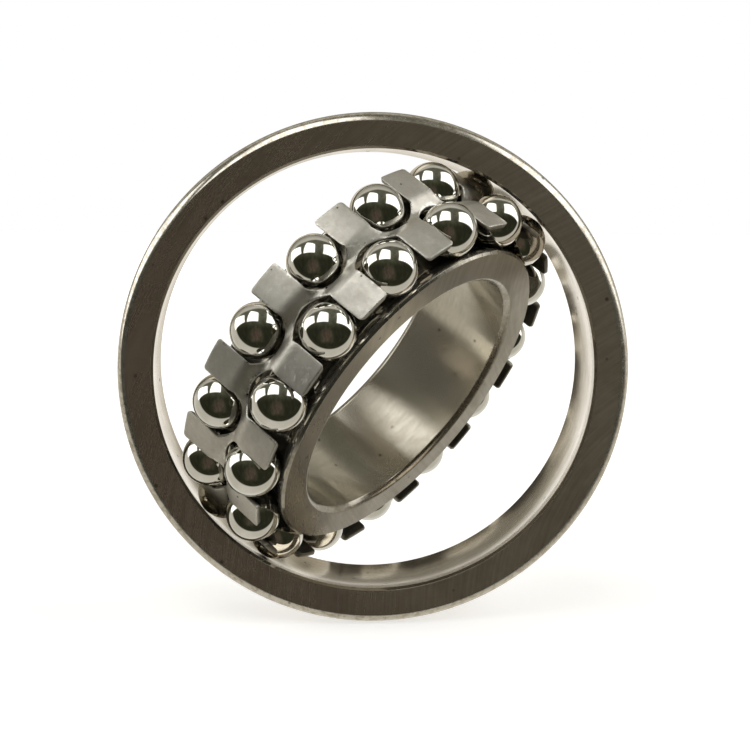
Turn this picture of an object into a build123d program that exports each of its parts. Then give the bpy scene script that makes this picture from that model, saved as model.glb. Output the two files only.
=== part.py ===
from build123d import *
import math
import os

# A self-aligning ball bearing with its inner ring, cage and balls swivelled out of the outer ring.
# The origin is the bearing's centre, where the axes of both rings cross. The outer ring's axis is Y,
# its front face looks along -Y, and +Z is up. All sizes are in millimetres and all angles in degrees.

# Boundary sizes
OUTER_DIAMETER = 90.0
SECTION_HEIGHT = 20.0      # from the bore to the outside, which leaves a bore of 50
RING_WIDTH = 20.0

# Balls and rows
BALL_DIAMETER = 9.525
BALLS_PER_ROW = 15
ROW_GAP = 0.575            # gap between the planes that bound the two rows of balls
PITCH_OFFSET = -0.33       # how far the ball circle lies outside the middle of the section
RACE_GAP = 0.05            # running gap between a ball and the spherical raceway
GROOVE_GAP = 0.04          # running gap between a ball and its groove in the inner ring

# Outer ring
OUTER_CORNER = 1.5         # corner between the side faces and the outside
OUTER_CORNER_BULGE = 0.2   # how far that corner is rounded out past a flat chamfer
RACE_EDGE_BREAK = 0.45     # broken edge between the raceway and the side faces

# Inner ring
BORE_CORNER = 1.0
BORE_CORNER_BULGE = 0.12
GROOVE_EASE = 0.2375       # groove radius beyond the ball's
LAND_HEIGHT = 1.64         # outer lands above the bottoms of the grooves
RIB_HEIGHT = 1.94          # centre rib above the bottoms of the grooves
LAND_CHAMFER = 0.4

# Cage, pressed from one sheet
SHEET_THICKNESS = 0.9
CAGE_INSET = 0.65          # cage edge inside the inner ring's side face
FINGER_LIFT = 2.33         # outer surface of the fingers above the ball circle
WEB_DIP = 1.2              # web between the rows below the fingers
WEB_FLAT = 1.2             # width of the bottom of that dip
DIP_WIDTH = 4.8            # width over which the sheet comes back up to the fingers
BEND_RADIUS = 1.3          # bends of the sheet, at its middle
POCKET_GAP = 0.21          # gap between a ball and the fingers beside it
NECK_WIDTH = 1.4           # narrowest web between two pockets of different rows
FINGER_CORNER = 0.7        # rounding of the fingers' free corners

# Pose in which the bearing lies
SWIVEL_HEADING = 51.5      # swivel axis in the outer ring's plane, up from +X
SWIVEL_TILT = 60.6         # angle between the axes of the two rings
BALL_PHASE = 88.0          # first ball of the front row, from the swivel axis

# Worked out from the sizes above
outer_radius = OUTER_DIAMETER / 2
bore_radius = outer_radius - SECTION_HEIGHT
half_width = RING_WIDTH / 2
ball_radius = BALL_DIAMETER / 2
groove_radius = ball_radius + GROOVE_EASE
row_offset = (BALL_DIAMETER + ROW_GAP) / 2
pitch_radius = (outer_radius + bore_radius) / 2 + PITCH_OFFSET
race_radius = math.hypot(pitch_radius, row_offset) + ball_radius + RACE_GAP
contact_angle = math.atan2(row_offset, pitch_radius)
ball_step = 360 / BALLS_PER_ROW
row_half_step = pitch_radius * math.radians(ball_step / 2)

swivel_heading = math.radians(SWIVEL_HEADING)
swivel_tilt = math.radians(SWIVEL_TILT)
swivel_axis = Vector(math.cos(swivel_heading), 0, math.sin(swivel_heading))
inner_axis = Vector(
    math.sin(swivel_tilt) * math.sin(swivel_heading),
    -math.cos(swivel_tilt),
    -math.sin(swivel_tilt) * math.cos(swivel_heading),
)
outer_frame = Plane(origin=(0, 0, 0), x_dir=(1, 0, 0), z_dir=(0, -1, 0))
inner_frame = Plane(origin=(0, 0, 0), x_dir=swivel_axis, z_dir=inner_axis)


def corner_arc(sharp, step, bulge):
    """Rounded corner that leaves the sharp one by step along each side and is pushed out towards it."""
    start = Vector(sharp[0] + step[0], sharp[1])
    end = Vector(sharp[0], sharp[1] + step[1])
    middle = (start + end) / 2
    outwards = (Vector(*sharp) - middle).normalized()
    return ThreePointArc(start, middle + outwards * bulge, end)


def turned(profile):
    """A ring turned about Z from a profile given as radius and height."""
    return revolve(Plane.XZ * profile, Axis.Z)


def make_outer_ring():
    """Plain ring with a spherical raceway, which both rows run on at any swivel."""
    race_end = half_width - RACE_EDGE_BREAK
    race_end_radius = math.sqrt(race_radius**2 - race_end**2)
    face_inner = math.sqrt(race_radius**2 - half_width**2) + RACE_EDGE_BREAK
    face_outer = outer_radius - OUTER_CORNER
    rim_end = half_width - OUTER_CORNER
    outline = [
        ThreePointArc((race_end_radius, -race_end), (race_radius, 0), (race_end_radius, race_end)),
        Polyline((race_end_radius, race_end), (face_inner, half_width), (face_outer, half_width)),
        corner_arc((outer_radius, half_width), (-OUTER_CORNER, -OUTER_CORNER), OUTER_CORNER_BULGE),
        Line((outer_radius, rim_end), (outer_radius, -rim_end)),
        corner_arc((outer_radius, -half_width), (-OUTER_CORNER, OUTER_CORNER), OUTER_CORNER_BULGE),
        Polyline((face_outer, -half_width), (face_inner, -half_width), (race_end_radius, -race_end)),
    ]
    return turned(make_face(outline))


def make_inner_ring():
    """Ring with a plain bore, two ball grooves, a rib between them and a land beside each."""
    centre_shift = GROOVE_EASE - GROOVE_GAP
    groove_centre = pitch_radius + centre_shift * math.cos(contact_angle)
    groove_offset = row_offset + centre_shift * math.sin(contact_angle)
    groove_bottom = groove_centre - groove_radius
    land = groove_bottom + LAND_HEIGHT
    rib = groove_bottom + RIB_HEIGHT
    face_outer = land - LAND_CHAMFER
    land_end = half_width - LAND_CHAMFER
    face_inner = bore_radius + BORE_CORNER
    bore_end = half_width - BORE_CORNER
    outline = [
        Line((bore_radius, -bore_end), (bore_radius, bore_end)),
        corner_arc((bore_radius, half_width), (BORE_CORNER, -BORE_CORNER), BORE_CORNER_BULGE),
        Polyline(
            (face_inner, half_width),
            (face_outer, half_width),
            (land, land_end),
            (land, row_offset),
            (rib, row_offset),
            (rib, -row_offset),
            (land, -row_offset),
            (land, -land_end),
            (face_outer, -half_width),
            (face_inner, -half_width),
        ),
        corner_arc((bore_radius, -half_width), (BORE_CORNER, BORE_CORNER), BORE_CORNER_BULGE),
    ]
    profile = make_face(outline)
    for side in (1, -1):
        profile -= Pos(groove_centre, side * groove_offset) * Circle(groove_radius)
    return turned(profile)


def ball_places():
    """Each ball's name, its angle about the inner axis and the side of its row."""
    places = []
    for row, side, shift in (("front", 1, 0.0), ("back", -1, ball_step / 2)):
        for index in range(BALLS_PER_ROW):
            angle = BALL_PHASE + shift + index * ball_step
            places.append((f"ball_{row}_{index + 1:02d}", angle, side))
    return places


def make_cage():
    """One pressed band: a zigzag web between the rows, and fingers that hold the balls apart."""
    cage_half = half_width - CAGE_INSET
    finger_top = pitch_radius + FINGER_LIFT
    finger_middle = finger_top - SHEET_THICKNESS / 2
    web_middle = finger_middle - WEB_DIP
    centre_line = FilletPolyline(
        (finger_middle, -cage_half),
        (finger_middle, -DIP_WIDTH / 2),
        (web_middle, -WEB_FLAT / 2),
        (web_middle, WEB_FLAT / 2),
        (finger_middle, DIP_WIDTH / 2),
        (finger_middle, cage_half),
        radius=BEND_RADIUS,
    )
    band = turned(trace(centre_line, line_width=SHEET_THICKNESS))

    # A pocket is a channel that fits the balls and runs out through the cage's edge. Its other end is
    # round about the ball, and the web between two pockets of different rows is a narrow neck.
    pocket_radius = ball_radius + POCKET_GAP
    end_radius = (math.hypot(2 * row_offset, row_half_step) - NECK_WIDTH) / 2
    end_bore = Cylinder(pocket_radius, 2 * end_radius)
    round_end = end_bore & Rot(0, 90, 0) * Cylinder(end_radius, 2 * pocket_radius)
    run_out = cage_half - row_offset + pocket_radius
    pockets = []
    for _, angle, side in ball_places():
        channel = Pos(0, 0, side * run_out / 2) * Cylinder(pocket_radius, run_out)
        pocket = Pos(pitch_radius, 0, side * row_offset) * (channel + round_end)
        pockets.append(Rot(0, 0, angle) * pocket)
    cage = band - pockets

    free_corners = [
        edge
        for edge in cage.edges().filter_by(GeomType.CIRCLE)
        if abs(abs(edge.center().Z) - cage_half) < 1e-4 and abs(edge.radius - pocket_radius) < 1e-4
    ]
    return fillet(free_corners, FINGER_CORNER)


def place(frame, shape):
    """Stands a piece that was made about Z on the axis of its ring."""
    return frame.location * shape


os.makedirs("parts", exist_ok=True)

export_step(place(outer_frame, make_outer_ring()), "parts/outer_ring.step")
export_step(place(inner_frame, make_inner_ring()), "parts/inner_ring.step")
export_step(place(inner_frame, make_cage()), "parts/cage.step")
for name, angle, side in ball_places():
    ball = Rot(0, 0, angle) * Pos(pitch_radius, 0, side * row_offset) * Sphere(ball_radius)
    export_step(place(inner_frame, ball), f"parts/{name}.step")
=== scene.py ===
import math

import bmesh
import bpy
import numpy as np
from mathutils import Matrix, Vector, noise as field
from mathutils.geometry import delaunay_2d_cdt


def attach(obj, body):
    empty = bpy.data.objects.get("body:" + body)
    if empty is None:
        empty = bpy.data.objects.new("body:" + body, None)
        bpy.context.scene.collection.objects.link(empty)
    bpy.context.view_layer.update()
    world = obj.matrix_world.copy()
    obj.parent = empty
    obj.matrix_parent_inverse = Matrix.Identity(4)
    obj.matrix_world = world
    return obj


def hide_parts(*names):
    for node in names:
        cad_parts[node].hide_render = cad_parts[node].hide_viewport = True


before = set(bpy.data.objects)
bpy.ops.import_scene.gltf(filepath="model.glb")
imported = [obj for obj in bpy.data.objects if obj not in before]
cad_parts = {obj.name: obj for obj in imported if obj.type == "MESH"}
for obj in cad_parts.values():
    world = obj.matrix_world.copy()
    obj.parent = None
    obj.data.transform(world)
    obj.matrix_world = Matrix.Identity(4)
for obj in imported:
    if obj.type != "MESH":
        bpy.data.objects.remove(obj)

MM = 0.001

# Sizes of the bearing in millimetres and degrees
OUTER_R = 45.0
BORE_R = 25.0
HALF = 10.0                # half the width of both rings
BALL_R = 4.7625
BALLS = 15                 # in each row
ROW = 5.05                 # from the middle plane to a row of balls
PITCH_R = 34.67
PHASE = 88.0
STEP = 360 / BALLS
RACE_R = math.hypot(PITCH_R, ROW) + BALL_R + 0.05
EDGE_BREAK = 0.6           # between the raceway and the side faces
RACE_ROUND, FACE_ROUND = 0.12, 0.14    # roundings at the two ends of that broken edge
OUTER_CORNER, OUTER_BULGE = 1.5, 0.2
BORE_CORNER, BORE_BULGE = 1.0, 0.12
GROOVE_R = 5.0
GROOVE_GAP = 0.04
LAND_HEIGHT, RIB_HEIGHT = 1.64, 1.94
LAND_CHAMFER, LAND_ROUND = 0.4, 0.1
LEAD = 0.16                # flat strip beside a corner, which keeps its shading off the flat

heading, tilt = math.radians(51.5), math.radians(60.6)
swivel_axis = Vector((math.cos(heading), 0, math.sin(heading)))
inner_axis = Vector((
    math.sin(tilt) * math.sin(heading),
    -math.cos(tilt),
    -math.sin(tilt) * math.cos(heading),
))


def frame_matrix(x_axis, z_axis):
    """Turns points about a ring's own axis Z into the row frame."""
    return np.array(Matrix((x_axis, z_axis.cross(x_axis), z_axis)).transposed())


OUTER_FRAME = frame_matrix(Vector((1, 0, 0)), Vector((0, -1, 0)))
INNER_FRAME = frame_matrix(swivel_axis, inner_axis)


def add_mesh(name, verts, faces, basis, normals=None, uvs=None, values=None):
    """A smooth mesh from points in millimetres about a ring's own axis, stood in the row frame."""
    points = (np.asarray(verts, float) @ basis.T) * MM
    mesh = bpy.data.meshes.new(name)
    mesh.from_pydata(points.tolist(), [], faces)
    mesh.polygons.foreach_set("use_smooth", [True] * len(mesh.polygons))
    for key, data in (uvs or {}).items():
        layer = mesh.uv_layers.new(name=key)
        layer.data.foreach_set("uv", np.asarray(data, np.float32).ravel())
    for key, data in (values or {}).items():
        layer = mesh.attributes.new(key, "FLOAT", "POINT")
        layer.data.foreach_set("value", np.asarray(data, np.float32))
    mesh.validate()
    if normals is not None:
        turned = np.asarray(normals, float) @ basis.T
        mesh.normals_split_custom_set_from_vertices(turned.tolist())
    obj = bpy.data.objects.new(name, mesh)
    bpy.context.scene.collection.objects.link(obj)
    return obj


# Outlines, as points (radius, height) with the parts of their normals

def fillet(before, here, after, radius, steps):
    """Points and normals of the rounding at here, on the way from before to after."""
    here = np.array(here, float)
    d_in = here - np.array(before, float)
    d_out = np.array(after, float) - here
    d_in /= np.linalg.norm(d_in)
    d_out /= np.linalg.norm(d_out)
    n_in = np.array([d_in[1], -d_in[0]])
    turn = math.atan2(d_in[0] * d_out[1] - d_in[1] * d_out[0], float(d_in @ d_out))
    side = math.copysign(1, turn)
    centre = here - d_in * abs(radius * math.tan(turn / 2)) - n_in * radius * side
    points = []
    for k in range(steps + 1):
        a = turn * k / steps
        normal = np.array([
            n_in[0] * math.cos(a) - n_in[1] * math.sin(a),
            n_in[0] * math.sin(a) + n_in[1] * math.cos(a),
        ])
        points.append((centre + normal * radius * side, normal))
    return points


def rounded(outline, steps=4):
    """All points of a closed outline of corners (radius, height, rounding) and curves (lists of points)."""
    points = []
    for i, part in enumerate(outline):
        if isinstance(part, list):
            points += part
            continue
        before, after = outline[i - 1], outline[(i + 1) % len(outline)]
        before = before[-1] if isinstance(before, list) else before
        after = after[0] if isinstance(after, list) else after
        for point, normal in fillet(before[:2], part[:2], after[:2], part[2], steps):
            points.append((*point, *normal))
    return points


def hollow_arc(centre, radius, start, end, steps):
    """A curve of points on a circle's arc from angle start to end in degrees, facing its centre."""
    points = []
    for k in range(steps + 1):
        a = math.radians(start + (end - start) * k / steps)
        x, y = math.cos(a), math.sin(a)
        points.append((centre[0] + radius * x, centre[1] + radius * y, -x, -y))
    return points


def corner_arc(sharp, back, on, bulge, steps=10):
    """A curve for a rounded corner between the points back and on from the sharp one, with its leads."""
    sharp, back, on = np.array(sharp, float), np.array(back, float), np.array(on, float)
    start, end = sharp + back, sharp + on
    middle = (start + end) / 2
    outward = (sharp - middle) / np.linalg.norm(sharp - middle)
    half_chord = np.linalg.norm(end - start) / 2
    radius = (half_chord**2 + bulge**2) / (2 * bulge)
    centre = middle + outward * (bulge - radius)
    span = math.asin(half_chord / radius)
    along_chord = (end - start) / (2 * half_chord)
    sides = []
    for leg in (back, on):
        leg = leg / np.linalg.norm(leg)
        flat = outward - leg * (outward @ leg)
        sides.append((leg, flat / np.linalg.norm(flat)))
    (back_leg, back_flat), (on_leg, on_flat) = sides
    points = [(*(start + back_leg * LEAD), *back_flat)]
    for k in range(steps + 1):
        t = -span + 2 * span * k / steps
        normal = outward * math.cos(t) + along_chord * math.sin(t)
        point = centre + normal * radius
        if k in (0, steps):
            normal = normal + (back_flat if k == 0 else on_flat)
            normal = normal / np.linalg.norm(normal)
        points.append((*point, *normal))
    points.append((*(end + on_leg * LEAD), *on_flat))
    return points


# Turned rings

def lathe(name, outline, basis, running, grime, segments=480):
    """A turned ring from its closed outline, with normals that keep flats flat.

    running gives, for a point (radius, height, normal), how much it belongs to a ground running surface,
    and the function after it how much painted shade darkens it, in hollows and at broken edges. The UV map
    turned holds the share of a turn and the way along the outline, and the UV map flat the place in the
    ring's plane.
    """
    outline = np.array(outline)
    count = len(outline)
    closed = np.vstack([outline, outline[:1]])[:, :2]
    length = np.concatenate([[0], np.cumsum(np.hypot(*np.diff(closed, axis=0).T))])
    th = np.arange(segments + 1) * 2 * math.pi / segments
    cos, sin = np.cos(th), np.sin(th)
    c, s = cos[:-1, None], sin[:-1, None]
    same = np.ones((segments, count))
    verts = np.stack([outline[:, 0] * c, outline[:, 0] * s, outline[:, 1] * same], -1)
    normals = np.stack([outline[:, 2] * c, outline[:, 2] * s, outline[:, 3] * same], -1)
    faces, turned, flat = [], [], []
    for i in range(segments):
        j = (i + 1) % segments
        for k in range(count):
            m = (k + 1) % count
            faces.append((i * count + k, j * count + k, j * count + m, i * count + m))
            for a, q, v in ((i, k, k), (i + 1, k, k), (i + 1, m, k + 1), (i, m, k + 1)):
                turned.append((a / segments, length[v]))
                flat.append((outline[q, 0] * cos[a], outline[q, 0] * sin[a]))
    uvs = {"turned": turned, "flat": flat}
    values = {
        "running": np.tile([running(*p) for p in outline], segments),
        "grime": np.tile([grime(*p) for p in outline], segments),
        "corner": np.tile([1.0 if 0.3 < abs(p[2]) < 0.95 else 0.0 for p in outline], segments),
    }
    return add_mesh(name, verts.reshape(-1, 3), faces, basis, normals.reshape(-1, 3), uvs, values)


def outer_ring():
    """Ring with a spherical raceway, a broken edge on either side of it and rounded outer corners."""
    race_end = HALF - EDGE_BREAK
    race_end_r = math.sqrt(RACE_R**2 - race_end**2)
    face_in = math.sqrt(RACE_R**2 - HALF**2) + EDGE_BREAK
    reach = math.degrees(math.asin(race_end / RACE_R)) - 0.5
    outline = [
        hollow_arc((0, 0), RACE_R, reach, -reach, 48),
        (race_end_r, -race_end, RACE_ROUND),
        (face_in, -HALF, FACE_ROUND),
        corner_arc((OUTER_R, -HALF), (-OUTER_CORNER, 0), (0, OUTER_CORNER), OUTER_BULGE),
        corner_arc((OUTER_R, HALF), (0, -OUTER_CORNER), (-OUTER_CORNER, 0), OUTER_BULGE),
        (face_in, HALF, FACE_ROUND),
        (race_end_r, race_end, RACE_ROUND),
    ]

    def running(r, h, nr, nh):
        return 1.0 if abs(nr) > 0.95 or (r < face_in and abs(nh) < 0.9) else 0.0

    # Painted shade on the broken edges between the raceway and the side faces
    def grime(r, h, nr, nh):
        return 0.8 if r < face_in + 0.2 and min(abs(nr), abs(nh)) > 0.3 else 0.0

    return lathe("outer_ring_turned", rounded(outline), OUTER_FRAME, running, grime)


def inner_ring():
    """Ring with two grooves that meet in a rib, a land beside each, and a plain bore."""
    shift = GROOVE_R - BALL_R - GROOVE_GAP
    contact = math.atan2(ROW, PITCH_R)
    centre_r = PITCH_R + shift * math.cos(contact)
    centre_z = ROW + shift * math.sin(contact)
    land = centre_r - GROOVE_R + LAND_HEIGHT
    rib = centre_r - GROOVE_R + RIB_HEIGHT
    a_land = math.degrees(math.acos((centre_r - land) / GROOVE_R))
    a_rib = math.degrees(math.acos((centre_r - rib) / GROOVE_R))
    outline = [
        corner_arc((BORE_R, HALF), (BORE_CORNER, 0), (0, -BORE_CORNER), BORE_BULGE),
        corner_arc((BORE_R, -HALF), (0, BORE_CORNER), (BORE_CORNER, 0), BORE_BULGE),
        (land - LAND_CHAMFER, -HALF, LAND_ROUND),
        (land, -HALF + LAND_CHAMFER, LAND_ROUND),
        hollow_arc((centre_r, -centre_z), GROOVE_R, 180 + a_land, 180 - a_rib, 28),
        hollow_arc((centre_r, centre_z), GROOVE_R, 180 + a_rib, 180 - a_land, 28),
        (land, HALF - LAND_CHAMFER, LAND_ROUND),
        (land - LAND_CHAMFER, HALF, LAND_ROUND),
    ]
    groove_side = land - 1.8    # all farther out than this are grooves, rib and lands

    def running(r, h, nr, nh):
        return 1.0 if abs(nh) < 0.3 or (r > groove_side and abs(h) < HALF - 0.5) else 0.0

    # Painted shade on the grooves, rib and lands, which lie behind the balls and the cage
    def grime(r, h, nr, nh):
        return 1.0 if r > groove_side and abs(h) < HALF - 2.2 else 0.0

    return lathe("inner_ring_turned", rounded(outline), INNER_FRAME, running, grime)


def ball(name, angle, side, rings=48, segments=96):
    """A ball at this angle about the inner axis, in the row on this side."""
    a = math.radians(angle)
    centre = np.array([PITCH_R * math.cos(a), PITCH_R * math.sin(a), side * ROW])
    verts, faces = [(0, 0, 1)], []
    for i in range(1, rings):
        p = math.pi * i / rings
        for j in range(segments):
            t = 2 * math.pi * j / segments
            verts.append((math.sin(p) * math.cos(t), math.sin(p) * math.sin(t), math.cos(p)))
    verts.append((0, 0, -1))
    last = len(verts) - 1
    for j in range(segments):
        k = (j + 1) % segments
        faces.append((0, 1 + j, 1 + k))
        faces.append((last, last - segments + k, last - segments + j))
        for i in range(rings - 2):
            b = 1 + i * segments
            faces.append((b + j, b + segments + j, b + segments + k, b + k))
    unit = np.array(verts)
    return add_mesh(name, centre + unit * BALL_R, faces, INNER_FRAME, unit)


# Cage, pressed from one sheet and built from one finger that repeats in both rows

SHEET = 0.9
CAGE_HALF = HALF - 0.65
FINGER_MID = PITCH_R + 2.33 - SHEET / 2
WEB_MID = FINGER_MID - 1.2
WEB_FLAT = 0.6             # half the flat bottom of the dip between the rows
DIP_HALF = 2.4
DIP_BENDS = (1.5, 2.8)     # bends at the dip's bottom and at the fingers' roots
POCKET_R = BALL_R + 0.21
NECK_WIDTH = 1.4
HALF_PITCH = PITCH_R * math.radians(STEP / 2)
END_R = (math.hypot(2 * ROW, HALF_PITCH) - NECK_WIDTH) / 2
NECK_ANGLE = math.atan2(HALF_PITCH, 2 * ROW)
CORNER = 0.7
PERIOD = math.radians(STEP)
EDGE_DEPTH = 0.2           # how deep the rounding of the sheet's edges reaches into its thickness
EDGE_ROUNDING = 0.14       # how far it reaches across the sheet
COINED_ROUNDING = 0.22     # what the coined rims of the round ends add to that
WIDE_DENT, SMALL_DENT = 0.030, 0.012
MESH_STEP = 0.42
ON_FINGER = 6.0            # a length along the sheet where it is a flat finger


def cage_line():
    """Middle of the sheet from edge to edge: lengths along it, points (radius, height) and normals."""
    corners = [(WEB_MID, 0.0), (WEB_MID, WEB_FLAT), (FINGER_MID, DIP_HALF), (FINGER_MID, CAGE_HALF)]
    outwards = np.array([1.0, 0.0])
    line = [(np.array([WEB_MID, 0.0]), outwards)]
    for before, here, after, bend in zip(corners, corners[1:], corners[2:], DIP_BENDS):
        line += fillet(before, here, after, bend, 12)
    root = line[-1][0][1]
    for k in range(1, 9):
        line.append((np.array([FINGER_MID, root + (CAGE_HALF - root) * k / 8]), outwards))
    points, normals = (np.array(part) for part in zip(*line))
    s = np.concatenate([[0], np.cumsum(np.hypot(*np.diff(points, axis=0).T))])
    mirror = [1, -1]
    return (
        np.concatenate([-s[:0:-1], s]),
        np.concatenate([points[:0:-1] * mirror, points]),
        np.concatenate([normals[:0:-1] * mirror, normals]),
    )


LINE_S, LINE_P, LINE_N = cage_line()


def sheet_at(s, depth):
    """Radius and height of the sheet at length s and depth from its middle."""
    p = np.stack([np.interp(s, LINE_S, LINE_P[:, i]) for i in (0, 1)], -1)
    n = np.stack([np.interp(s, LINE_S, LINE_N[:, i]) for i in (0, 1)], -1)
    n /= np.linalg.norm(n, axis=-1, keepdims=True)
    return p + n * np.asarray(depth)[..., None]


def radius_at(s, depth):
    return float(sheet_at(np.array([s]), np.array([depth]))[0, 0])


def length_at(z, depth):
    """Length along the sheet where its surface at this depth has height z."""
    surface = sheet_at(LINE_S, np.full(len(LINE_S), depth))
    order = np.argsort(surface[:, 1])
    return float(np.interp(z, surface[order, 1], LINE_S[order]))


def half_width(radius, offset):
    """Half width of a pocket's straight part where the sheet has this radius."""
    cos = (radius**2 + PITCH_R**2 - (POCKET_R + offset)**2) / (2 * radius * PITCH_R)
    return radius * math.sin(math.acos(min(1.0, cos)))


def end_rounding(ease, psi):
    """How far the sheet's edge draws back at angle psi of a pocket's round end, where its rim is coined."""
    t = min(1.0, max(0.0, (math.radians(80) - psi) / math.radians(45)))
    return ease * (EDGE_ROUNDING + COINED_ROUNDING * t * t * (3 - 2 * t))


def pocket_point(psi, depth, offset, side):
    """A point of a pocket's round end at angle psi from its deepest point: (angle from the ball, length)."""
    rho = END_R + offset
    for _ in range(8):
        s = length_at(side * (ROW - rho * math.cos(psi)), depth)
        r = radius_at(s, depth)
        if abs(psi) > 1e-6:
            rho = min(END_R + offset, half_width(r, offset) / abs(math.sin(psi)))
    return math.asin(rho * math.sin(psi) / r), s


def finger_edge(depth, ease):
    """Left edge of a front finger in (angle, length), from its neck to the middle of its free end."""
    end_points, side_points, corner_points, tip_points = 22, 10, 6, 7
    points = []
    for k in range(end_points):
        psi = NECK_ANGLE + (math.pi / 2 - NECK_ANGLE) * k / end_points
        points.append(pocket_point(psi, depth, end_rounding(ease, psi), 1))
    drawn = ease * EDGE_ROUNDING
    radius = radius_at(ON_FINGER, depth)
    side = half_width(radius, drawn)
    for k in range(side_points):
        z = ROW + (CAGE_HALF - CORNER - ROW) * k / side_points
        points.append((math.asin(side / radius), length_at(z, depth)))
    corner_centre = half_width(radius, 0) + CORNER
    for k in range(corner_points + 1):
        a = math.pi / 2 * k / corner_points
        across = corner_centre - (CORNER - drawn) * math.cos(a)
        z = CAGE_HALF - CORNER + (CORNER - drawn) * math.sin(a)
        points.append((math.asin(across / radius), length_at(z, depth)))
    corner_end, tip = points[-1]
    for k in range(1, tip_points + 1):
        points.append((corner_end + (PERIOD / 2 - corner_end) * k / tip_points, tip))
    return points


def finger_outline(depth, ease):
    """Outline of a front finger at this depth, in (angle, length): its free edge and its base at the web."""
    base_points = 28
    left = finger_edge(depth, ease)
    right = [(PERIOD - a, s) for a, s in left[-2::-1]]
    base = []
    for k in range(base_points + 1):
        psi = NECK_ANGLE - 2 * NECK_ANGLE * k / base_points
        a, s = pocket_point(psi, depth, end_rounding(ease, abs(psi)), -1)
        base.append((PERIOD / 2 + a, s))
    return left + right, base


def between(a, b, steps=4):
    """Points that divide the way from a to b, without its ends."""
    return [(a[0] + (b[0] - a[0]) * k / steps, a[1] + (b[1] - a[1]) * k / steps) for k in range(1, steps)]


def skin(edge, base):
    """Small triangles that fill one finger's outline: points (angle, length) and faces."""
    outline = edge + between(edge[-1], base[0]) + base + between(base[-1], edge[0])
    poly = np.array([(a * FINGER_MID, s) for a, s in outline])
    following = np.roll(poly, -1, axis=0)
    leg = following - poly
    xs = np.arange(poly[:, 0].min(), poly[:, 0].max(), MESH_STEP)
    ys = np.arange(poly[:, 1].min(), poly[:, 1].max(), MESH_STEP * 0.866)
    inner = []
    for row, y in enumerate(ys):
        rises = (poly[:, 1] > y) != (following[:, 1] > y)
        meets = leg[:, 0] * (y - poly[:, 1]) / (leg[:, 1] + 1e-12) + poly[:, 0]
        for x in xs + (row % 2) * MESH_STEP / 2:
            p = np.array([x, y])
            t = np.clip(((p - poly) * leg).sum(1) / (leg * leg).sum(1), 0, 1)
            near = np.hypot(*(poly + leg * t[:, None] - p).T).min()
            if (rises & (x < meets)).sum() % 2 and near > MESH_STEP * 0.5:
                inner.append((x, y))
    points = [Vector(p) for p in poly.tolist() + inner]
    count = len(poly)
    rim = [(i, (i + 1) % count) for i in range(count)]
    filled = delaunay_2d_cdt(points, rim, [], 1, 1e-6)
    return [(v[0] / FINGER_MID, v[1]) for v in filled[0]], filled[2]


def cage():
    """The pressed cage: an outer and an inner skin of small triangles, joined by rounded edges."""
    half = SHEET / 2
    rings = []
    for drop, ease in ((0.0, 1.0), (0.08, 0.62), (0.29, 0.29), (0.62, 0.08), (1.0, 0.0)):
        rings.append((half - EDGE_DEPTH * drop, ease))
    rings += [(-d, e) for d, e in reversed(rings)]
    outlines = [finger_outline(d, e) for d, e in rings]
    outer_skin, inner_skin = skin(*outlines[0]), skin(*outlines[-1])
    verts, faces, worn, grime = [], [], [], []

    def place(pairs, depth, k, side, rim_wear_and_sheen=0.0):
        """Adds points (angle, length) of finger k on this side, a little dented, and gives where they start."""
        pairs = np.array(pairs)
        start = len(verts)
        angles = math.radians(PHASE) + pairs[:, 0] + k * PERIOD - (0 if side > 0 else PERIOD / 2)
        for (_, s), a in zip(pairs, angles):
            spot = Vector((math.cos(a) * FINGER_MID, math.sin(a) * FINGER_MID, side * s))
            dent = WIDE_DENT * field.noise(spot * 0.45) + SMALL_DENT * field.noise(spot * 1.3)
            r, z = sheet_at(s, depth + dent)
            verts.append((r * math.cos(a), r * math.sin(a), side * z))
            worn.append(rim_wear_and_sheen)
            # Painted shade: none on the outer face, full from 0.4 mm under it, on the pocket walls and inner
            # face
            grime.append(min(1.0, max(0.0, (half - 0.1 - depth) / 0.3)))
        return start

    for k in range(BALLS):
        for side in (1, -1):
            for (points, triangles), depth in ((outer_skin, half), (inner_skin, -half)):
                start = place(points, depth, k, side)
                for triangle in triangles:
                    face = [start + i for i in triangle]
                    faces.append(face if depth * side > 0 else face[::-1])
            for part in (0, 1):
                starts = []
                for (depth, _), outline in zip(rings, outlines):
                    # The outer rounded part of each edge takes painted highlight over its scuffing
                    rim_wear_and_sheen = 1.0 if depth > half - 0.1 else 0.0
                    starts.append(place(outline[part], depth, k, side, rim_wear_and_sheen))
                for a, b in zip(starts, starts[1:]):
                    for i in range(len(outlines[0][part]) - 1):
                        face = [a + i, b + i, b + i + 1, a + i + 1]
                        faces.append(face if side > 0 else face[::-1])
    obj = add_mesh("cage_pressed", verts, faces, INNER_FRAME, values={"worn": worn, "grime": grime})
    bm = bmesh.new()
    bm.from_mesh(obj.data)
    bmesh.ops.remove_doubles(bm, verts=bm.verts, dist=2e-6)
    bmesh.ops.recalc_face_normals(bm, faces=bm.faces)
    bm.to_mesh(obj.data)
    bm.free()
    return obj


# Shader nodes

def emptied(owner):
    """The node tree of a material or world, with its first nodes taken out."""
    owner.use_nodes = True
    owner.node_tree.nodes.clear()
    return owner.node_tree


def node(tree, kind, **values):
    """A new node. Its inputs are links where they are given as sockets, and constants otherwise."""
    n = tree.nodes.new(kind)
    inputs = values.pop("inputs", {})
    for key, val in values.items():
        setattr(n, key, val)
    for key, val in inputs.items():
        if isinstance(val, bpy.types.NodeSocket):
            tree.links.new(val, n.inputs[key])
        else:
            n.inputs[key].default_value = val
    return n


def maths(tree, op, a, b=0.0, c=0.0):
    return node(tree, "ShaderNodeMath", operation=op, inputs={0: a, 1: b, 2: c}).outputs[0]


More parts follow.
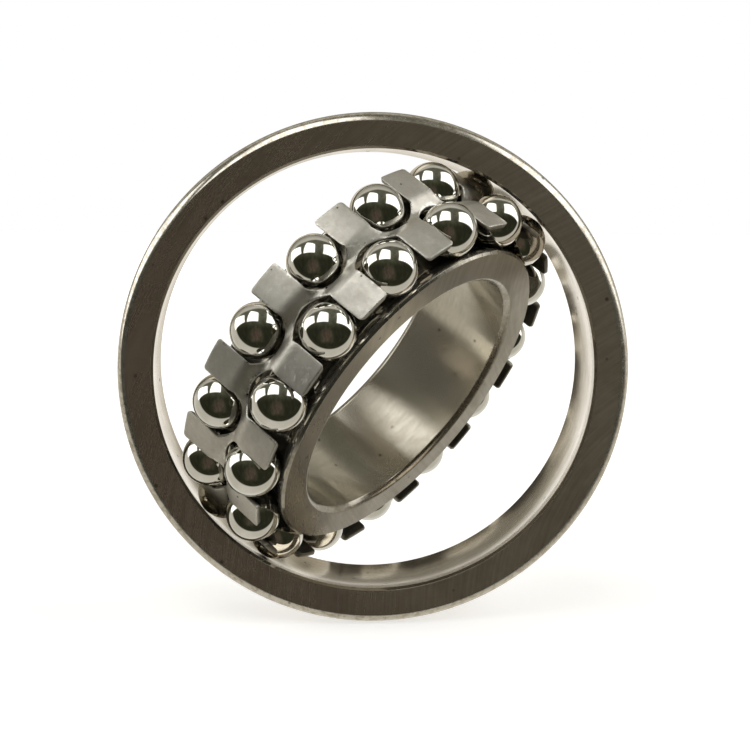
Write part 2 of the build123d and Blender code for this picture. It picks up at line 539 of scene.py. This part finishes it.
def times(tree, a, b):
    return maths(tree, "MULTIPLY", a, b)


def times_plus(tree, a, b, c):
    return maths(tree, "MULTIPLY_ADD", a, b, c)


def vector_maths(tree, op, a, b, c=(0.0, 0.0, 0.0)):
    return node(tree, "ShaderNodeVectorMath", operation=op, inputs={0: a, 1: b, 2: c})


def scaled(tree, vector, factors):
    return vector_maths(tree, "MULTIPLY", vector, factors).outputs[0]


def noise(tree, vector, scale, detail=3.0, rough=0.5):
    inputs = {"Vector": vector, "Scale": scale, "Detail": detail, "Roughness": rough}
    return node(tree, "ShaderNodeTexNoise", inputs=inputs).outputs["Fac"]


def ramp(tree, fac, *stops):
    """Colours (position, (r, g, b)) along a ramp."""
    n = node(tree, "ShaderNodeValToRGB", inputs={"Fac": fac})
    while len(n.color_ramp.elements) < len(stops):
        n.color_ramp.elements.new(0.5)
    for e, (position, colour) in zip(n.color_ramp.elements, stops):
        e.position = position
        e.color = (*colour, 1)
    return n.outputs["Color"]


def mix(tree, fac, a, b):
    return node(tree, "ShaderNodeMix", data_type="RGBA", inputs={0: fac, 6: a, 7: b}).outputs[2]


def blend(tree, fac, a, b):
    return node(tree, "ShaderNodeMix", data_type="FLOAT", inputs={0: fac, 2: a, 3: b}).outputs[0]


def step_up(tree, value, low, high, to_low=0.0, to_high=1.0):
    inputs = {0: value, 1: low, 2: high, 3: to_low, 4: to_high}
    return node(tree, "ShaderNodeMapRange", interpolation_type="SMOOTHSTEP", inputs=inputs).outputs[0]


def attribute(tree, name):
    return node(tree, "ShaderNodeAttribute", attribute_name=name).outputs["Fac"]


def place_in_mm(tree):
    return scaled(tree, node(tree, "ShaderNodeTexCoord").outputs["Object"], (1000.0, 1000.0, 1000.0))


def specks(tree, place, scale, radii, chosen_from):
    """Round specks: 1 within the first of the radii, in the share of the cells past chosen_from."""
    cells = node(tree, "ShaderNodeTexVoronoi", inputs={"Vector": place, "Scale": scale, "Randomness": 1.0})
    chosen = node(tree, "ShaderNodeSeparateColor", inputs={0: cells.outputs["Color"]}).outputs[0]
    spot = step_up(tree, cells.outputs["Distance"], *radii, 1.0, 0.0)
    return times(tree, spot, step_up(tree, chosen, *chosen_from))


def finish(tree, base, metal, rough, height, depth, strength=1.0, aniso=0.0, tangent=None):
    """Principled steel with relief of the given depth in millimetres, and the output node."""
    bump = {"Strength": strength, "Distance": depth * MM, "Height": height}
    relief = node(tree, "ShaderNodeBump", inputs=bump)
    bsdf = node(tree, "ShaderNodeBsdfPrincipled", inputs={
        "Base Color": base,
        "Metallic": metal,
        "Roughness": rough,
        "Normal": relief.outputs["Normal"],
        "Anisotropic": aniso,
        "Anisotropic Rotation": 0.25,
    })
    if tangent is not None:
        tree.links.new(tangent, bsdf.inputs["Tangent"])
    tree.links.new(bsdf.outputs[0], node(tree, "ShaderNodeOutputMaterial").inputs["Surface"])


# Materials

def ring_steel(name, shades, seed, face_rough, run_rough, metal, pull, face_shade, rubbed_sheen):
    """Ground ring: turning lines all round, grinding strokes across the side faces, blotches and nicks.

    shades run from dark to light. face_rough and run_rough are the roughness of the side faces and of the
    running surfaces, pull is how far the turning lines draw out reflections, the next one how much painted
    shade darkens the side faces on their darker side, and the last one how much painted highlight lightens
    the scuffed corners.
    """
    mat = bpy.data.materials.new(name)
    tree = emptied(mat)
    turned = node(tree, "ShaderNodeUVMap", uv_map="turned").outputs["UV"]
    flat = node(tree, "ShaderNodeUVMap", uv_map="flat").outputs["UV"]
    place = place_in_mm(tree)
    running = attribute(tree, "running")
    corner = attribute(tree, "corner")
    # Painted shade in the grooves and on the broken edges, from the ring's per-point values
    film = attribute(tree, "grime")
    facing_side = maths(tree, "SUBTRACT", 1.0, running)

    # Turning lines: noise along the outline that hardly changes round the ring
    part = node(tree, "ShaderNodeSeparateXYZ", inputs={0: turned})
    turn = times(tree, part.outputs[0], 2 * math.pi)

    def lines(per_mm, reach):
        spot = node(tree, "ShaderNodeCombineXYZ", inputs={
            0: times(tree, part.outputs[1], per_mm),
            1: times(tree, maths(tree, "COSINE", turn), reach),
            2: times_plus(tree, maths(tree, "SINE", turn), reach, seed),
        })
        return noise(tree, spot.outputs[0], 1.0, 4.0, 0.7)

    fine, wide = lines(5.0, 9.0), lines(0.9, 4.0)

    # Strokes of a cup wheel, which run over the faces in wide arcs about a point beside the ring
    offset = vector_maths(tree, "SUBTRACT", flat, (70.0, -46.0 + seed, 0.0)).outputs[0]
    far = node(tree, "ShaderNodeVectorMath", operation="LENGTH", inputs={0: offset}).outputs["Value"]
    apart = node(tree, "ShaderNodeSeparateXYZ", inputs={0: offset})
    bearing = maths(tree, "ARCTAN2", apart.outputs[1], apart.outputs[0])
    stroke_at = node(tree, "ShaderNodeCombineXYZ", inputs={
        0: times(tree, far, 1.5),
        1: times(tree, bearing, 4.5),
        2: seed,
    })
    strokes = noise(tree, stroke_at.outputs[0], 1.0, 2.5, 0.6)

    blotch = noise(tree, place, 0.11, 4.0, 0.6)
    mottle = noise(tree, place, 0.9, 4.0, 0.65)
    grain = noise(tree, place, 4.5, 2.0, 0.6)
    nick = specks(tree, place, 0.34, (0.07, 0.16), (0.72, 0.76))
    face_marks = times_plus(tree, strokes, 0.85, times(tree, fine, 0.15))
    run_marks = times_plus(tree, fine, 0.5, times(tree, wide, 0.5))
    marks = blend(tree, running, face_marks, run_marks)
    stains = times_plus(tree, blotch, 0.46, times(tree, mottle, 0.06))
    tone = times_plus(tree, marks, 0.48, stains)

    # Painted shade on the side faces lightens from one side of the ring to the other, and they grow rougher
    # that way
    sideways = node(tree, "ShaderNodeSeparateXYZ", inputs={0: flat}).outputs[0]
    drift = step_up(tree, times_plus(tree, blotch, 30.0, sideways), -30.0, 60.0)
    drift = times(tree, drift, facing_side)
    painted_face_shade = times(tree, facing_side, blend(tree, drift, face_shade, face_shade - 0.25))
    # Painted highlight on the side faces' corners, broken up like scuffing
    worn = times(tree, times(tree, corner, facing_side), step_up(tree, mottle, 0.38, 0.56, 0.2, 1.0))

    base = ramp(tree, tone, (0.34, shades[0]), (0.50, shades[1]), (0.66, shades[2]))
    # Painted shade on the side faces, painted highlight on the corners, painted shade in grooves and broken
    # edges, dark nicks
    base = mix(tree, painted_face_shade, base, (0.16, 0.135, 0.10, 1))
    base = mix(tree, times(tree, worn, rubbed_sheen), base, (0.90, 0.87, 0.80, 1))
    base = mix(tree, times(tree, film, 0.75), base, (0.08, 0.07, 0.05, 1))
    base = mix(tree, times(tree, nick, 0.7), base, (0.10, 0.09, 0.07, 1))

    uneven = times(tree, step_up(tree, tone, 0.38, 0.62, 0.07, -0.05), blend(tree, running, 1.0, 0.3))
    rough = maths(tree, "ADD", blend(tree, running, face_rough, run_rough), uneven)
    rough = times_plus(tree, drift, 0.12, rough)
    rough = times_plus(tree, corner, -0.11, rough)

    height = maths(tree, "SUBTRACT", times_plus(tree, grain, 0.02, marks), times(tree, nick, 3.0))
    finish(
        tree, base, blend(tree, running, metal, metal - 0.08), rough, height, 0.0018,
        strength=blend(tree, running, 0.65, 0.10),
        aniso=times(tree, running, pull),
        tangent=node(tree, "ShaderNodeTangent", direction_type="UV_MAP", uv_map="turned").outputs[0],
    )
    return mat


def polished_steel(name):
    """Polished ball: near mirror, with a thin uneven film and a few specks."""
    mat = bpy.data.materials.new(name)
    tree = emptied(mat)
    place = place_in_mm(tree)
    blotch = noise(tree, place, 0.30, 3.0, 0.6)
    film = noise(tree, place, 1.4, 4.0, 0.7)
    speck = specks(tree, place, 0.30, (0.035, 0.06), (0.55, 0.6))
    base = mix(tree, step_up(tree, blotch, 0.3, 0.7), (0.93, 0.92, 0.88, 1), (0.86, 0.85, 0.80, 1))
    base = mix(tree, times(tree, speck, 0.85), base, (0.04, 0.035, 0.03, 1))
    rough = maths(tree, "ADD", step_up(tree, film, 0.45, 0.75, 0.02, 0.07), times(tree, speck, 0.4))
    finish(tree, base, 1.0, rough, film, 0.0006)
    return mat


def sheet_steel(name):
    """Pressed, tumbled matt sheet: scratches, pits, scuffed rims with painted highlight, painted shade inside.
    """
    mat = bpy.data.materials.new(name)
    tree = emptied(mat)
    place = place_in_mm(tree)
    # Painted highlight over scuffing on the outer rims, and painted shade under the outer face
    worn = attribute(tree, "worn")
    grime = attribute(tree, "grime")
    blotch = noise(tree, place, 0.22, 4.0, 0.6)
    mottle = noise(tree, place, 1.1, 5.0, 0.7)
    grain = noise(tree, place, 6.0, 3.0, 0.7)

    # Scratches lie where one of two drawn-out noises crosses its middle, in some patches only
    warp = node(tree, "ShaderNodeTexNoise", inputs={"Vector": place, "Scale": 0.35, "Detail": 2.0})
    bent = vector_maths(tree, "MULTIPLY_ADD", warp.outputs["Color"], (5.0, 5.0, 5.0), place).outputs[0]

    def hairs(drawn_out, level):
        hair = noise(tree, scaled(tree, bent, drawn_out), 1.0, 2.0, 0.5)
        return maths(tree, "ABSOLUTE", maths(tree, "SUBTRACT", hair, level))

    near = maths(tree, "MINIMUM", hairs((0.10, 1.9, 0.10), 0.5), hairs((1.7, 0.12, 0.12), 0.47))
    scratch = times(tree, step_up(tree, near, 0.002, 0.007, 1.0, 0.0), step_up(tree, blotch, 0.47, 0.55))
    pit = specks(tree, place, 0.55, (0.08, 0.15), (0.82, 0.86))

    tone = times_plus(tree, mottle, 0.30, times_plus(tree, blotch, 0.50, times(tree, grain, 0.20)))
    # Painted highlight on the scuffed rims, broken up by the mottle
    bright_rims = times(tree, worn, step_up(tree, mottle, 0.42, 0.58))
    shine = maths(tree, "MAXIMUM", times(tree, scratch, 0.55), bright_rims)
    base = ramp(
        tree, tone, (0.34, (0.60, 0.575, 0.515)), (0.50, (0.69, 0.665, 0.605)), (0.66, (0.78, 0.76, 0.70)),
    )
    # Lighter scratches, and painted highlight on the rims
    base = mix(tree, times(tree, shine, 0.5), base, (0.93, 0.91, 0.86, 1))
    base = mix(tree, pit, base, (0.03, 0.028, 0.022, 1))
    # Painted shade darkens the pocket walls and the inner face
    base = mix(tree, times(tree, grime, 0.85), base, (0.09, 0.08, 0.06, 1))
    rough = maths(tree, "ADD", step_up(tree, tone, 0.38, 0.62, 0.53, 0.40), times(tree, shine, -0.2))
    raised = times_plus(tree, mottle, 1.0, times(tree, grain, 0.3))
    sunk = times_plus(tree, pit, 1.5, times(tree, scratch, 0.4))
    finish(tree, base, 0.98, rough, maths(tree, "SUBTRACT", raised, sunk), 0.020)
    return mat


# The inner ring's side faces take the most painted shade, the outer ring's corners the most painted highlight
outer_steel = ring_steel(
    "outer ring steel", ((0.44, 0.375, 0.29), (0.58, 0.515, 0.42), (0.74, 0.68, 0.58)), 3.0,
    face_rough=0.24, run_rough=0.15, metal=0.93, pull=0.0, face_shade=0.18, rubbed_sheen=0.7,
)
inner_steel = ring_steel(
    "inner ring steel", ((0.58, 0.54, 0.45), (0.70, 0.66, 0.57), (0.82, 0.78, 0.69)), 11.0,
    face_rough=0.27, run_rough=0.17, metal=0.97, pull=0.92, face_shade=0.74, rubbed_sheen=0.25,
)
ball_steel = polished_steel("ball steel")
cage_steel = sheet_steel("cage steel")


# Pieces

def fit_out(obj, part, material):
    """Gives a piece its material and hands it over in place of the CAD part."""
    obj.data.materials.clear()
    obj.data.materials.append(material)
    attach(obj, part)
    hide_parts(part)


fit_out(outer_ring(), "outer_ring", outer_steel)
fit_out(inner_ring(), "inner_ring", inner_steel)
fit_out(cage(), "cage", cage_steel)
for row, side, shift in (("front", 1, 0.0), ("back", -1, STEP / 2)):
    for i in range(BALLS):
        part = f"ball_{row}_{i + 1:02d}"
        fit_out(ball(f"{part}_polished", PHASE + shift + i * STEP, side), part, ball_steel)

# Camera, as the photo was taken

ahead = Vector((0.06056, 0.99278, -0.10356)).normalized()
right = ahead.cross(Vector((0, 0.10375, 0.99460))).normalized()
up = right.cross(ahead)
stand = Matrix.Translation(Vector((-17.331, -292.119, 28.814)) * MM)
cam = bpy.data.cameras.new("camera")
cam.lens = 77.92
cam.sensor_width = 36.0
cam.clip_start = 0.01
cam_obj = bpy.data.objects.new("camera", cam)
bpy.context.scene.collection.objects.link(cam_obj)
cam_obj.matrix_world = stand @ Matrix((right, up, -ahead)).transposed().to_4x4()
bpy.context.scene.camera = cam_obj

# Floor, which glows a little so that it is as white as the backdrop and still takes a shadow

FLOOR_Z = -0.0452
FLOOR_HALF = 4

floor_mesh = bpy.data.meshes.new("floor")
floor_corners = [(x * FLOOR_HALF, y * FLOOR_HALF, FLOOR_Z) for x, y in ((-1, -1), (1, -1), (1, 1), (-1, 1))]
floor_mesh.from_pydata(floor_corners, [], [(0, 1, 2, 3)])
floor = bpy.data.objects.new("floor", floor_mesh)
bpy.context.scene.collection.objects.link(floor)
floor_mat = bpy.data.materials.new("floor")
tree = emptied(floor_mat)
diffuse = node(tree, "ShaderNodeBsdfDiffuse", inputs={"Color": (0.9, 0.9, 0.9, 1)})
glow = node(tree, "ShaderNodeEmission", inputs={"Color": (1, 1, 1, 1), "Strength": 0.60})
both = node(tree, "ShaderNodeAddShader", inputs={0: diffuse.outputs[0], 1: glow.outputs[0]})
tree.links.new(both.outputs[0], node(tree, "ShaderNodeOutputMaterial").inputs["Surface"])
floor_mesh.materials.append(floor_mat)
floor.visible_glossy = False

# Room seen in the steel: three bright windows, a dark room behind the camera, a white backdrop and table

world = bpy.data.worlds.new("room")
bpy.context.scene.world = world
tree = emptied(world)
toward = node(tree, "ShaderNodeTexCoord").outputs["Generated"]


def along(axis):
    return vector_maths(tree, "DOT_PRODUCT", toward, axis).outputs["Value"]


def soft_step(value, low, high, to_low=0.0, to_high=1.0):
    return step_up(tree, value, low, high, to_low, to_high)


def facing(lon, lat):
    """A direction in the row frame by its angles right of the camera and above it, seen from the bearing."""
    lon, lat = math.radians(lon), math.radians(lat)
    x, y, z = math.sin(lon) * math.cos(lat), math.sin(lat), math.cos(lon) * math.cos(lat)
    return (right * x + up * y - ahead * z).normalized()


def window(corners, soft):
    """Brightness 1 inside the window whose four corners face these angles, in turn."""
    corners = [facing(*c) for c in corners]
    middle = sum(corners, Vector()).normalized()
    inside = soft_step(along(middle), 0.0, 0.05)
    for p, q in zip(corners, corners[1:] + corners[:1]):
        n = p.cross(q).normalized()
        if n.dot(middle) < 0:
            n = -n
        inside = times(tree, inside, soft_step(along(n), -soft, soft))
    return inside


WINDOWS = [
    [(-82, 48), (-57, 29), (-97, 2), (-115, 24)],
    [(-80, 69), (6, 73), (3, 36), (-47, 31)],
    [(76, 62), (116, 38), (106, 0), (40, 30)],
]
WINDOW_SOFT, WINDOW_LIGHT = 0.05, 1.75
light = window(WINDOWS[0], WINDOW_SOFT)
for corners in WINDOWS[1:]:
    light = maths(tree, "MAXIMUM", light, window(corners, WINDOW_SOFT))
side = along(tuple(right))
above = along(tuple(up))
behind = along(tuple(ahead))
below = maths(tree, "MAXIMUM", times(tree, above, -1.0), 0.0)

# The pale table and walls start beside and under the bearing, the wall behind is whitest at its level
start = times_plus(tree, side, 0.13, 0.13)
start = times_plus(tree, below, -0.42, start)
start = maths(tree, "ADD", start, soft_step(above, 0.0, 0.4, 0.0, 0.20))
start = maths(tree, "ADD", start, soft_step(above, 0.6, 1.0, 0.0, -0.22))
pale = soft_step(maths(tree, "SUBTRACT", behind, start), -0.05, 0.08)
whiteness = times_plus(tree, soft_step(behind, 0.3, 0.8), 0.18, 0.50)
whiteness = times_plus(tree, soft_step(behind, 0.80, 0.975), 0.55, whiteness)
overhead = times(tree, soft_step(above, 0.10, 0.34), soft_step(behind, 0.25, 0.6))
whiteness = blend(tree, overhead, whiteness, 0.27)
whiteness = times(tree, whiteness, times_plus(tree, noise(tree, toward, 1.6, 3.0, 0.5), 0.4, 0.8))

# Dark half of the room, lighter towards its ceiling, with folds of a curtain and a brown bench
folds = noise(tree, scaled(tree, toward, (4.5, 4.5, 1.8)), 1.0, 4.0, 0.6)
room = times_plus(tree, soft_step(above, 0.05, 1.0), 0.088, 0.021)
room = times(tree, room, times_plus(tree, folds, 1.6, 0.2))
bench = window([(-20, 6), (14, 8), (22, -40), (-30, -40)], 0.26)
level = times_plus(tree, light, WINDOW_LIGHT, blend(tree, pale, room, whiteness))
tint = ramp(
    tree, level,
    (0.03, (0.98, 1.0, 0.60)), (0.16, (1.0, 0.98, 0.84)),
    (0.45, (1.0, 0.945, 0.80)), (0.95, (1.0, 0.99, 0.95)),
)
tint = mix(tree, bench, tint, (1.0, 0.74, 0.54, 1))
level = times_plus(tree, bench, times(tree, folds, 0.095), level)

# The camera itself sees plain white
lit = node(tree, "ShaderNodeBackground", inputs={"Color": tint, "Strength": level})
plain = node(tree, "ShaderNodeBackground", inputs={"Color": (1, 1, 1, 1), "Strength": 1.0})
is_camera = node(tree, "ShaderNodeLightPath").outputs["Is Camera Ray"]
mixed = node(tree, "ShaderNodeMixShader", inputs={0: is_camera, 1: lit.outputs[0], 2: plain.outputs[0]})
tree.links.new(mixed.outputs[0], node(tree, "ShaderNodeOutputWorld").inputs["Surface"])

bpy.context.scene.view_settings.view_transform = "Standard"
